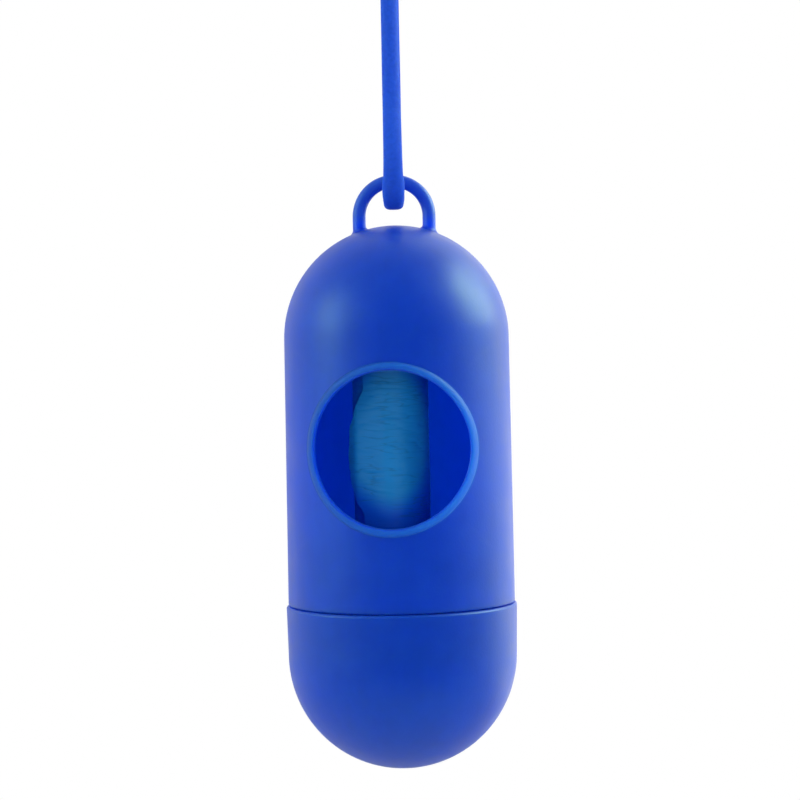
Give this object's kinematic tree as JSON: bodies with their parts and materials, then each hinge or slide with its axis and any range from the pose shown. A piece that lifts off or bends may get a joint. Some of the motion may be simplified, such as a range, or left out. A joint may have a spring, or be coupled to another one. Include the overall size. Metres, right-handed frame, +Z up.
{
  "type": "dog waste bag dispenser",
  "caption": "Capsule-shaped waste bag dispenser: a domed case with a hanging ring and a round lipped window, a screw cap, a roll of bags inside and a cord loop to hang it by",
  "frame": {"origin": "the hang point, inside the top of the cord loop, where a hook, a finger or a lead carries it", "axes": "+Z is up along the capsule's axis towards the hang point, the window faces -Y, and +X is to the right of someone who looks at the window"},
  "size_m": [0.0404, 0.0406, 0.1696],
  "materials": {
    "cord": "satin round elastomer cord",
    "coupler": "satin",
    "case_blue": "satin moulded polypropylene, slightly translucent",
    "cap_blue": "satin moulded polypropylene, slightly translucent",
    "card": "raw grey-brown cardboard",
    "film": "thin crinkled polythene film"
  },
  "bodies": {
    "strap": {"hang_cord": "cord", "cord_coupler": "coupler"},
    "case": {"upper_shell": "case_blue"},
    "core": {"roll_core": "card"},
    "cap": {"screw_cap": "cap_blue"},
    "bags": {"bag_1": "film", "bag_2": "film", "bag_3": "film", "bag_4": "film", "bag_5": "film"}
  },
  "joints": [
    {"name": "case_swing", "type": "hinge", "parent": "strap", "child": "case", "pos_m": [0, 0, -0.06388], "axis": [1, 0, 0], "range_deg": [-80, 80]},
    {"name": "cap_pull", "type": "slide", "parent": "case", "child": "core", "axis": [0, 0, -1], "range_m": [0, 0.062]},
    {"name": "cap_turn", "type": "hinge", "parent": "core", "child": "cap", "pos_m": [0, 0, -0.14661], "axis": [0, 0, -1], "range_deg": [0, 540]},
    {"name": "roll_spin", "type": "hinge", "parent": "core", "child": "bags", "pos_m": [-0.0013, 0, -0.13], "axis": [0, 0, 1], "continuous": true}
  ]
}
